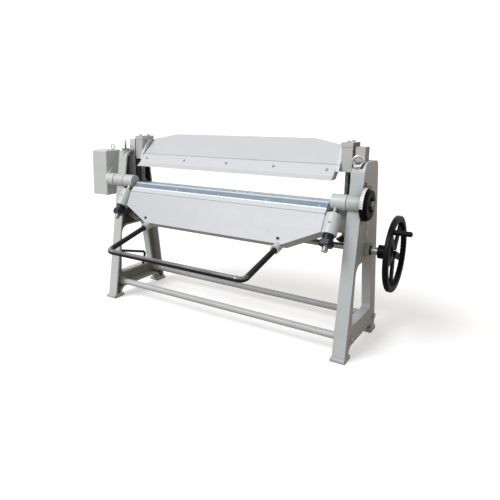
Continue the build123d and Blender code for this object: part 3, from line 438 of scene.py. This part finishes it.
# Clamping beam: folded and welded plate, with a planed steel jaw bolted under it. All of it
# is sprayed in a slightly cooler and cleaner grey than the castings.

smooth_sheet = (2.0, 0.14)
jaw_joint_z, block_shoe_x = 0.985, 0.738
beam_enamel = sprayed_enamel(
    "enamel_on_beam_plate", "d1d4d9", "c7cad0", "77736a", smooth_sheet, joint_z=jaw_joint_z,
)
dress(beam_enamel, "clamp_front_plate", "clamp_nose", "clamp_bottom_plate", "clamp_rear_plate")
dress(beam_enamel, "clamp_end_plates")
block_enamel = sprayed_enamel(
    "enamel_on_lifting_block", "cacdcd", "b9bcbb", "47413a", rolled_bar, shoe_x=block_shoe_x,
)
dress(block_enamel, "lifting_blocks", "block_caps")


def outer_cap(verts, way):
    """The end of a fresh prism that looks along a direction."""
    faces = [face for vert in verts for face in vert.link_faces]
    most = max(len(face.verts) for face in faces)
    return [face for face in faces if len(face.verts) == most and face.normal.dot(way) > 0.9][:1]


def socket_screw(bm, place, direction, radius, proud):
    """The head of a screw that is sunk in a face, with a round socket in its middle."""
    way = Vector(direction).normalized()
    top_radius, rim_width, socket_depth = radius * 0.86, radius * 0.36, proud * 1.4
    head = bmesh.ops.create_cone(
        bm, cap_ends=True, segments=20, radius1=radius, radius2=top_radius, depth=proud * 2,
        matrix=aimed(place, direction),
    )["verts"]
    cap = outer_cap(head, way)
    bmesh.ops.inset_region(bm, faces=cap, thickness=rim_width)
    sunk = bmesh.ops.extrude_discrete_faces(bm, faces=cap)["faces"]
    bmesh.ops.translate(bm, verts=sunk[0].verts[:], vec=-way * socket_depth)


def hex_head(bm, place, direction, across, height):
    """A hexagon bolt head with chamfered corners on a washer."""
    way = Vector(direction).normalized()
    washer_radius, washer_height = across * 0.62, 0.0022
    turned_bar(bm, place, way, washer_radius, washer_height, 0.4, 32)
    corner_radius, chamfer = across / math.sqrt(3), height * 0.16
    head = bmesh.ops.create_cone(
        bm, cap_ends=True, segments=6, radius1=corner_radius, radius2=corner_radius, depth=height,
        matrix=aimed(place + way * (washer_height + height / 2), way),
    )["verts"]
    bmesh.ops.bevel(
        bm, geom=outer_cap(head, way)[0].edges[:], offset=chamfer, segments=2, affect="EDGES",
        profile=0.5, material=-1,
    )


screw_steel = oiled_black_steel("blackened_screw", "3b3d42", "1f2124", "a4a6aa", 0.34, 0.5)
screw_row = (-617, -309, 0, 309, 617)
strip_foot_y, strip_foot_z = -107, 929
strip_head_y, strip_head_z = -63, 985
jaw_screw_y, jaw_screw_z = -84.8, 957.3
strip_rise = math.atan2(strip_head_z - strip_foot_z, strip_head_y - strip_foot_y)
strip_normal = Vector((0, -math.sin(strip_rise), math.cos(strip_rise)))
bm = bmesh.new()
for x in screw_row:
    socket_screw(bm, mm(x, jaw_screw_y, jaw_screw_z), strip_normal, radius=0.0085, proud=0.0006)
make_piece("jaw_screws", bm, "clamp_beam", screw_steel)

block_x, cap_top = 708, 1100
bm = bmesh.new()
for sign in (-1, 1):
    for y in (-42, 40):
        hex_head(bm, mm(sign * block_x, y, cap_top), upward, across=0.018, height=0.0075)
make_piece("block_cap_bolts", bm, "clamp_beam", plate_enamel)


# Lifting nuts: bronze bushes pressed into the feet of the lifting blocks. They are turned,
# and dull where oil has darkened them.

nut_bronze = ground_steel("turned_bronze", "b98a4e", "8a6336", 0.42, (1.0, 1.0, 0.05))
dress(nut_bronze, "lifting_nuts")


# Folding beam: a welded sheet apron with deep returns under a thick bar. It carries a ground
# steel working strip that countersunk screws hold, and two bolts hold the handle's sockets.

apron_enamel = sprayed_enamel("enamel_on_apron_sheet", "c2c5cb", "b7bac0", "77736a", smooth_sheet)
dress(apron_enamel, "apron", "apron_ribs")
bar_enamel = sprayed_enamel("enamel_on_beam_bar", "d9dce1", "cdd1d6", "77736a", smooth_sheet)
dress(bar_enamel, "folding_bar")
hang = math.radians(44)
pivot = mm(0, -141, 803)
beam_down = Vector((0, -math.cos(hang), -math.sin(hang)))
beam_in = Vector((0, math.sin(hang), -math.cos(hang)))


def working_strip_steel():
    """Ground steel bar: lines along it, lighter where sheet rubs by the bending edge, and a painted
    highlight along one corner.
    """
    material, tree = new_material("ground_working_strip")
    place = add(tree, "TexCoord", {}).outputs["Object"]
    # Its grinding lines too are drawn at 1.5 mm, since finer ones would not show.
    lines = tool_lines(tree, place, along_bar, 1.5)
    from_pivot = add(tree, "VectorMath", {0: place, 1: pivot}, operation="SUBTRACT")
    depth = add(tree, "VectorMath", {0: from_pivot, 1: beam_down}, operation="DOT_PRODUCT").outputs["Value"]
    rub_ends, rub_full = 0.015, 0.011
    highlight_starts, highlight_full = 0.0444, 0.0456
    rubbed = add(tree, "MapRange", {"Value": depth, "From Min": rub_ends, "From Max": rub_full})
    # A white line along the lower corner: a painted highlight.
    corner = add(tree, "MapRange", {"Value": depth, "From Min": highlight_starts, "From Max": highlight_full})
    cloud = add(tree, "TexNoise", {"Vector": place, "Scale": 1000 / 90, "Detail": 5.0, "Roughness": 0.6})
    dark = add(tree, "MixRGB", {"Fac": cloud, "Color1": linear("65717d"), "Color2": linear("84909b")})
    light = add(tree, "MixRGB", {"Fac": rubbed, "Color1": dark, "Color2": linear("b4bec8")})
    bright = add(tree, "MixRGB", {"Fac": corner, "Color1": light, "Color2": linear("f0f2f4")})
    gloss = add(tree, "MapRange", {"Value": lines, "To Min": 0.32, "To Max": 0.54})
    bump = add(tree, "Bump", {"Strength": 0.2, "Distance": 0.0002, "Height": lines})
    skin = add(tree, "BsdfPrincipled", {
        "Base Color": bright, "Metallic": 1.0, "Roughness": gloss, "Normal": bump,
    })
    add(tree, "OutputMaterial", {"Surface": skin})
    return material


dress(working_strip_steel(), "folding_strip")
strip_screw_depth = 0.0352
all_round = (1.0, 1.0, 1.0)
bright_screw = ground_steel("bright_turned_screw", "e2e4e6", "bfc2c5", 0.25, all_round)
bm = bmesh.new()
for x in screw_row:
    place = pivot + mm(x, 0, 0) + beam_down * strip_screw_depth
    socket_screw(bm, place, -beam_in, radius=0.0062, proud=0.0005)
make_piece("strip_screws", bm, "folding_beam", bright_screw)

apron_top_depth, apron_foot_depth, apron_foot_inset = 0.083, 0.265, 0.060
apron_bolt_depth = 0.1625
apron_top = pivot + beam_down * apron_top_depth
apron_foot = pivot + beam_down * apron_foot_depth + beam_in * apron_foot_inset
apron_down = (apron_foot - apron_top).normalized()
apron_out = apron_down.cross(Vector((1, 0, 0)))
bm = bmesh.new()
for x in (-472, 440):
    place = apron_top + mm(x, 0, 0) + apron_down * apron_bolt_depth
    hex_head(bm, place, apron_out, across=0.013, height=0.006)
make_piece("apron_bolts", bm, "folding_beam", screw_steel)


# Hubs and adjusters: turned hubs on bare steel pivot pins, each with a stud that a welded
# sleeve slides on. A round nut and a lock nut under the sleeve set the beam to the sheet.

dress(plate_enamel, "pivot_hubs", "adjusting_sleeves")
dress(shaft_steel, "pivot_pins")
nut_black = oiled_black_steel("blued_steel_nut", "26292f", "101114", "b4b8bf", 0.26, 1.2)
dress(nut_black, "adjusting_nuts")

stud_steel = ground_steel("turned_stud_steel", "96948f", "66645f", 0.34, all_round)
stud_x, stud_radius = 703, 0.0152
stud_slope = math.radians(55)
stud_down = Vector((0, -math.cos(stud_slope), -math.sin(stud_slope)))
end_depth, end_length, end_chamfer_mm = 0.2475, 0.0302, 1.6
neck_depth, neck_length, neck_chamfer_mm = 0.0415, 0.0334, 0.2
bm = bmesh.new()
for sign in (-1, 1):
    root = pivot + mm(sign * stud_x, 0, 0)
    turned_bar(bm, root + stud_down * end_depth, stud_down, stud_radius, end_length, end_chamfer_mm)
    turned_bar(bm, root + stud_down * neck_depth, stud_down, stud_radius, neck_length, neck_chamfer_mm)
make_piece("polished_studs", bm, "folding_beam", stud_steel)

# The set screws stand on the sleeves' upper front side.
sleeve_radius = 0.0389
toward_front = mm(0, -82, 57).normalized()
sleeve_front = (toward_front - stud_down * toward_front.dot(stud_down)).normalized()
bm = bmesh.new()
for x, depth in ((stud_x, 0.132), (-stud_x, 0.127)):
    place = pivot + mm(x, 0, 0) + stud_down * depth + sleeve_front * sleeve_radius
    socket_screw(bm, place, sleeve_front, radius=0.006, proud=0.0007)
make_piece("sleeve_set_screws", bm, "folding_beam", screw_steel)


# Angle disc: a turned iron disc on the right pivot pin, stoved black, with a recessed face.
# A lacquered scale strip is wrapped round the front of its rim, under a blackened pointer.

def stoved_black(name, colour, shade, roughness, specular):
    """Black stove enamel or moulding: deep, with handling haze in its gloss and thin grey edges."""
    material, tree = new_material(name)
    place = add(tree, "TexCoord", {}).outputs["Object"]
    haze = add(tree, "TexNoise", {"Vector": place, "Scale": 1000 / 35, "Detail": 6.0, "Roughness": 0.65})
    tone = add(tree, "MixRGB", {"Fac": haze, "Color1": linear(shade), "Color2": linear(colour)})
    soft_edge, worn = edge_wear(tree, 1.0, haze)
    rubbed = add(tree, "MixRGB", {"Fac": worn, "Color1": tone, "Color2": linear("37373a")})
    gloss = add(tree, "MapRange", {"Value": haze, "To Min": roughness - 0.08, "To Max": roughness + 0.16})
    # Its orange peel of about 1 mm is drawn at 2.2 mm to show.
    peel = add(tree, "TexNoise", {"Vector": place, "Scale": 1000 / 2.2, "Detail": 2.0})
    bump = add(tree, "Bump", {"Strength": 0.12, "Distance": 0.0003, "Height": peel, "Normal": soft_edge})
    skin = add(tree, "BsdfPrincipled", {
        "Base Color": rubbed, "Roughness": gloss, "Normal": bump, "Specular IOR Level": specular,
    })
    add(tree, "OutputMaterial", {"Surface": skin})
    return material


dress(stoved_black("stoved_black_iron", "12121a", "08080d", 0.3, 0.06), "angle_disc")
dress(stud_steel, "disc_nut")
dress(collar_black, "angle_pointer")

scale_inner_x, scale_outer_x = 835.4, 852.4
scale_under, scale_over = 83.9, 84.5
scale_sweep = math.radians(97)


def scale_lacquer():
    """White lacquer printed with marks at five degrees and longer ones at ten, by angle about the pivot."""
    material, tree = new_material("lacquered_scale")
    place = add(tree, "TexCoord", {}).outputs["Object"]
    centred = add(tree, "Mapping", {"Vector": place, "Location": -pivot})
    parts = add(tree, "SeparateXYZ", {"Vector": centred})
    angle = add(tree, "Math", {0: parts.outputs["Z"], 1: parts.outputs["Y"]}, operation="ARCTAN2")
    marks = []
    for degrees, width, reach in ((5, 0.10, 0.8415), (10, 0.055, 0.8465)):
        turns = add(tree, "Math", {0: angle, 1: 1 / math.radians(degrees)}, operation="MULTIPLY")
        saw = add(tree, "Math", {0: turns, 1: 0.5}, operation="PINGPONG")
        line = add(tree, "Math", {0: saw, 1: width}, operation="LESS_THAN")
        short = add(tree, "Math", {0: parts.outputs["X"], 1: reach}, operation="LESS_THAN")
        marks.append(add(tree, "Math", {0: line, 1: short}, operation="MULTIPLY"))
    both = add(tree, "Math", {0: marks[0], 1: marks[1]}, operation="MAXIMUM")
    stain = add(tree, "TexNoise", {"Vector": place, "Scale": 1000 / 20, "Detail": 5.0})
    paper = add(tree, "MixRGB", {"Fac": stain, "Color1": linear("d5d6d6"), "Color2": linear("eeefef")})
    printed = add(tree, "MixRGB", {"Fac": both, "Color1": paper, "Color2": linear("1c1c1e")})
    gloss = add(tree, "MapRange", {"Value": stain, "To Min": 0.22, "To Max": 0.4})
    skin = add(tree, "BsdfPrincipled", {"Base Color": printed, "Roughness": gloss})
    add(tree, "OutputMaterial", {"Surface": skin})
    return material


section = (
    (scale_inner_x, scale_under), (scale_outer_x, scale_under),
    (scale_outer_x, scale_over), (scale_inner_x, scale_over),
)
bm = bmesh.new()
corners = [bm.verts.new(pivot + mm(x, 0, radius)) for x, radius in section]
band = bm.faces.new(corners)
bmesh.ops.spin(
    bm, geom=[band] + band.edges[:] + corners, cent=pivot, axis=(1, 0, 0), angle=scale_sweep, steps=40,
)
make_piece("angle_scale", bm, "folding_beam", scale_lacquer())


# Counterweight: a cast iron block on a welded gusset at the left end of the pivot pin,
# sprayed with the frames' enamel, with a painted lifting eye on top.

rough_casting = (3.5, 0.50)
weight_enamel = sprayed_enamel("enamel_on_cast_weight", "d5dbdd", "c6cccd", "6f6a60", rough_casting)
dress(weight_enamel, "counterweight", "counterweight_arm")
dress(plate_enamel, "weight_eye")


# Handle: one bent steel tube, stoved black, in two sockets under the apron. Turned steel
# ferrules close the grip's ends by the front bends.

def handled_and_highlit_tube():
    """Stoved black steel tube: deep black in the bends, rubbed to streaky grey on top of the grip, which is
    also a painted highlight.
    """
    material, tree = new_material("hand_worn_highlit_black_tube")
    coordinates = add(tree, "TexCoord", {})
    place = coordinates.outputs["Object"]
    haze = add(tree, "TexNoise", {"Vector": place, "Scale": 1000 / 35, "Detail": 6.0, "Roughness": 0.65})
    black = add(tree, "MixRGB", {"Fac": haze, "Color1": linear("08080a"), "Color2": linear("131316")})
    streaks = tool_lines(tree, place, (0.03, 1.0, 1.0), 6, 0.7)
    parts = add(tree, "SeparateXYZ", {"Vector": place})
    normal = add(tree, "SeparateXYZ", {"Vector": coordinates.outputs["Normal"]})
    # The grip's top is grey: wear by hands, and also a painted highlight from the light above.
    top = add(tree, "MapRange", {"Value": normal.outputs["Z"], "From Min": 0.1, "From Max": 0.75})
    grip = add(tree, "MapRange", {"Value": parts.outputs["Y"], "From Min": -0.61, "From Max": -0.63})
    worn_and_highlit_top = add(tree, "Math", {0: top, 1: grip}, operation="MULTIPLY")
    streaky = add(tree, "MapRange", {"Value": streaks, "From Min": 0.36, "From Max": 0.56})
    worn = add(tree, "Math", {0: worn_and_highlit_top, 1: streaky}, operation="MULTIPLY")
    colour = add(tree, "MixRGB", {"Fac": worn, "Color1": black, "Color2": linear("989ba1")})
    gloss = add(tree, "MapRange", {"Value": haze, "To Min": 0.22, "To Max": 0.42})
    bump = add(tree, "Bump", {"Strength": 0.12, "Distance": 0.0003, "Height": streaks})
    skin = add(tree, "BsdfPrincipled", {
        "Base Color": colour, "Roughness": gloss, "Normal": bump, "Specular IOR Level": 0.3,
    })
    add(tree, "OutputMaterial", {"Surface": skin})
    return material


dress(handled_and_highlit_tube(), "handle")
dress(plate_enamel, "handle_sockets")
grip_y, grip_z = -641.5, 471
ferrule_x, ferrule_radius, ferrule_length = 404, 0.0164, 0.008
bm = bmesh.new()
for sign in (-1, 1):
    start = mm(sign * ferrule_x, grip_y, grip_z) - Vector((ferrule_length / 2, 0, 0))
    turned_bar(bm, start, (1, 0, 0), ferrule_radius, ferrule_length, 0.8)
make_piece("grip_ferrules", bm, "folding_beam", stud_steel)


# Handwheel: a moulded wheel with five spokes and finger grips inside its rim, pressed on
# the shaft, and a loose grip that turns on a blackened pin.

moulded_black = stoved_black("moulded_phenolic", "13151f", "0a0b13", 0.32, 0.08)
dress(moulded_black, "handwheel", "crank_grip")
dress(collar_black, "grip_pin")


# Fittings: zinc plated lifting eyes on the frames, the right one bright and the left one
# weathered grey, and a bent rod of stoved black steel inside the left frame.

bright_zinc = ground_steel("bright_zinc_plate", "d8dbde", "b6babe", 0.2, all_round)
dress(bright_zinc, "frame_eye_right")
weathered_zinc = ground_steel("weathered_zinc_plate", "a3a5a3", "7f817f", 0.42, all_round)
dress(weathered_zinc, "frame_eye_left")
dress(stoved_black("stoved_black_rod", "1a1b1e", "0e0e10", 0.3, 0.3), "handle_rest")


# Stop plate: a small sprayed steel plate on the right frame's outer face, held by one screw
# under a spare hole.

plate_x, plate_y, plate_z = 829, -41, 656.5
plate_thickness, plate_width, plate_height = 0.005, 0.026, 0.083
corner_radius, edge_break = 0.004, 0.0008
outward = Vector((1, 0, 0))
placing = Matrix.Translation(mm(plate_x, plate_y, plate_z))
sizing = Matrix.Diagonal((plate_thickness, plate_width, plate_height, 1))
bm = bmesh.new()
bmesh.ops.create_cube(bm, size=1.0, matrix=placing @ sizing)
across = [edge for edge in bm.edges if edge.verts[0].co.x != edge.verts[1].co.x]
bmesh.ops.bevel(bm, geom=across, offset=corner_radius, segments=4, affect="EDGES", profile=0.5, material=-1)
rim = [edge for edge in bm.edges if all(vert.co.x > plate_x / 1000 for vert in edge.verts)]
bmesh.ops.bevel(bm, geom=rim, offset=edge_break, segments=2, affect="EDGES", profile=0.5, material=-1)
stop_enamel = sprayed_enamel("enamel_on_stop_plate", "e0dccf", "d0ccbf", "6f6a60", smooth_sheet)
make_piece("stop_plate", bm, "stand", stop_enamel)
bm = bmesh.new()
for z, radius, proud in ((676, 0.0045, 0.0004), (660, 0.0055, 0.0012)):
    place = mm(plate_x, plate_y, z) + outward * plate_thickness / 2
    socket_screw(bm, place, outward, radius, proud)
make_piece("stop_plate_screw", bm, "stand", screw_steel)


# Studio: a seamless white floor under a broad soft key from the upper left front and an even
# room. The camera sees the floor white with its shadow, and every other ray sees it duller.

white = (1, 1, 1, 1)
floor_reach = 30.0
floor_mesh = bpy.data.meshes.new("studio_floor")
bm = bmesh.new()
bmesh.ops.create_grid(bm, x_segments=1, y_segments=1, size=floor_reach)
bm.to_mesh(floor_mesh)
bm.free()
floor = bpy.data.objects.new("studio_floor", floor_mesh)
bpy.context.scene.collection.objects.link(floor)
floor_paint, tree = new_material("white_studio_floor")
rays = add(tree, "LightPath", {}).outputs
matt = add(tree, "BsdfDiffuse", {"Color": linear("f4f4f4")})
dull = add(tree, "BsdfDiffuse", {"Color": linear("b6aea0")})
glow = add(tree, "Emission", {"Color": white, "Strength": 0.4})
lit = add(tree, "AddShader", {0: matt, 1: glow})
floor_look = add(tree, "MixShader", {0: rays["Is Camera Ray"], 1: dull, 2: lit})
add(tree, "OutputMaterial", {"Surface": floor_look})
floor_mesh.materials.append(floor_paint)

world = bpy.data.worlds.new("studio_room")
world.use_nodes = True
tree = world.node_tree
tree.nodes.clear()
rays = add(tree, "LightPath", {}).outputs
seen = add(tree, "Math", {0: rays["Is Camera Ray"], 1: rays["Is Glossy Ray"]}, operation="MAXIMUM")
backdrop_seen = add(tree, "Math", {0: seen, 1: rays["Is Transmission Ray"]}, operation="MAXIMUM")
room = add(tree, "Background", {"Color": linear("f7f2eb"), "Strength": 0.46})
backdrop = add(tree, "Background", {"Color": white, "Strength": 1.0})
sky = add(tree, "MixShader", {0: backdrop_seen, 1: room, 2: backdrop})
add(tree, "OutputWorld", {"Surface": sky})
bpy.context.scene.world = world

key_data = bpy.data.lights.new("key_sky", "SUN")
key_data.energy = 2.3
key_data.color = (0.965, 0.985, 1.0)
key_data.angle = math.radians(34)
key = bpy.data.objects.new("key_sky", key_data)
key_direction = Vector((0.38, 0.66, -0.68))
key.rotation_euler = key_direction.to_track_quat("-Z", "Y").to_euler()
bpy.context.scene.collection.objects.link(key)


# Camera: to the right of the machine's front at chest height, with the photograph's crop as
# a shift of the lens.

camera_data = bpy.data.cameras.new("view")
camera_data.sensor_width = 36.0
camera_data.lens = 35.53
camera_data.shift_x = 0.1191
camera_data.shift_y = -0.0778
camera = bpy.data.objects.new("view", camera_data)
camera.location = (1.53205, -2.59797, 1.23809)
looking_down, turned_left = 0.19215, 0.61964
camera.rotation_euler = (math.pi / 2 - looking_down, 0, turned_left)
bpy.context.scene.collection.objects.link(camera)
bpy.context.scene.camera = camera
bpy.context.scene.view_settings.view_transform = "Standard"
